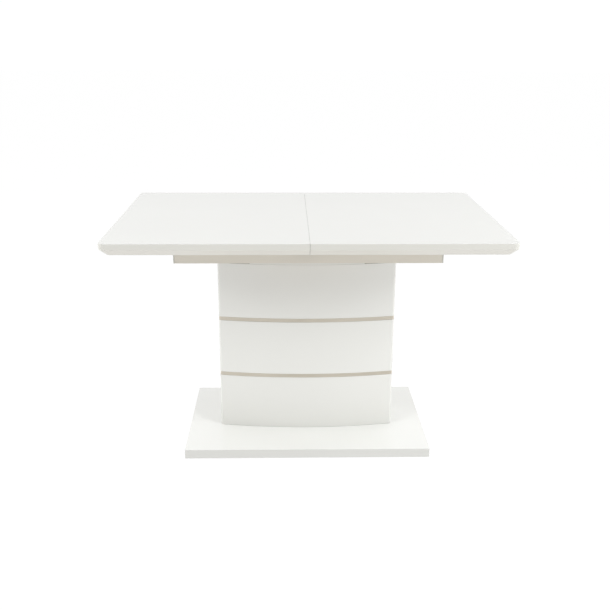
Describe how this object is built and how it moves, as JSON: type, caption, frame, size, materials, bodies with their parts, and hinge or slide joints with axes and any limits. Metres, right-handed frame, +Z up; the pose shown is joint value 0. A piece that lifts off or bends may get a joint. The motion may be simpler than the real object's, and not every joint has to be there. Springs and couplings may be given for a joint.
{
  "type": "extendable dining table",
  "caption": "Rectangular extendable dining table: gloss top halves slide apart over a stored folding leaf, on a bowed banded pedestal with metal strips and a flat base plate.",
  "frame": {"origin": "on the floor, under the centre of the table", "axes": "+X along the table's length and the sliding direction, -Y towards the front long side, +Z up"},
  "size_m": [1.2, 0.8, 0.75],
  "materials": {
    "white_gloss": "white high-gloss lacquer on fibreboard",
    "white_satin": "off-white satin lacquer on fibreboard",
    "champagne_metal": "champagne brushed strip",
    "raw_board": "raw fibreboard",
    "beech": "clear satin beech",
    "zinc_steel": "zinc plated",
    "glide_plastic": "moulded"
  },
  "bodies": {
    "stand": {"base_plate": "white_gloss", "floor_glide_1": "glide_plastic", "floor_glide_2": "glide_plastic", "floor_glide_3": "glide_plastic", "floor_glide_4": "glide_plastic", "base_bolt_1": "zinc_steel", "base_bolt_2": "zinc_steel", "base_bolt_3": "zinc_steel", "base_bolt_4": "zinc_steel", "pedestal_lower_front_panel": "white_gloss", "pedestal_lower_rear_panel": "white_gloss", "pedestal_lower_left_panel": "white_gloss", "pedestal_lower_right_panel": "white_gloss", "pedestal_middle_front_panel": "white_gloss", "pedestal_middle_rear_panel": "white_gloss", "pedestal_middle_left_panel": "white_gloss", "pedestal_middle_right_panel": "white_gloss", "pedestal_upper_front_panel": "white_gloss", "pedestal_upper_rear_panel": "white_gloss", "pedestal_upper_left_panel": "white_gloss", "pedestal_upper_right_panel": "white_gloss", "pedestal_lower_strip": "champagne_metal", "pedestal_lower_divider": "raw_board", "pedestal_upper_strip": "champagne_metal", "pedestal_upper_divider": "raw_board", "pedestal_bottom_board": "raw_board", "pedestal_top_board": "white_satin", "riser_front_beam": "white_gloss", "riser_rear_beam": "white_gloss", "frame_front_rail": "white_satin", "frame_rear_rail": "white_satin", "frame_left_end_rail": "white_satin", "frame_right_end_rail": "white_satin", "frame_tray": "white_satin", "frame_bolt_1": "zinc_steel", "frame_bolt_2": "zinc_steel", "frame_bolt_3": "zinc_steel", "frame_bolt_4": "zinc_steel", "slide_channel_front": "zinc_steel", "slide_channel_rear": "zinc_steel", "leaf_lower_half": "white_gloss", "leaf_upper_half": "white_gloss", "leaf_hinge_left": "zinc_steel", "leaf_hinge_right": "zinc_steel"},
    "left_top": {"top_half_left": "white_gloss", "seam_dowel_1": "beech", "seam_dowel_2": "beech", "seam_dowel_3": "beech", "runner_left_front": "zinc_steel", "runner_left_rear": "zinc_steel", "front_lock_pivot": "zinc_steel", "rear_lock_pivot": "zinc_steel"},
    "right_top": {"top_half_right": "white_gloss", "runner_right_front": "zinc_steel", "runner_right_rear": "zinc_steel", "front_lock_keeper": "zinc_steel", "rear_lock_keeper": "zinc_steel"},
    "front_lock": {"front_lock_lever": "zinc_steel"},
    "rear_lock": {"rear_lock_lever": "zinc_steel"}
  },
  "joints": [
    {"name": "left_top_slide", "type": "slide", "parent": "stand", "child": "left_top", "axis": [-1, 0, 0], "range_m": [0, 0.2]},
    {"name": "right_top_slide", "type": "slide", "parent": "stand", "child": "right_top", "axis": [1, 0, 0], "range_m": [0, 0.2]},
    {"name": "front_lock_turn", "type": "hinge", "parent": "left_top", "child": "front_lock", "pos_m": [-0.018, -0.305, 0.7065], "axis": [0, 0, 1], "range_deg": [0, 50]},
    {"name": "rear_lock_turn", "type": "hinge", "parent": "left_top", "child": "rear_lock", "pos_m": [-0.018, 0.305, 0.7065], "axis": [0, 0, -1], "range_deg": [0, 50]}
  ]
}
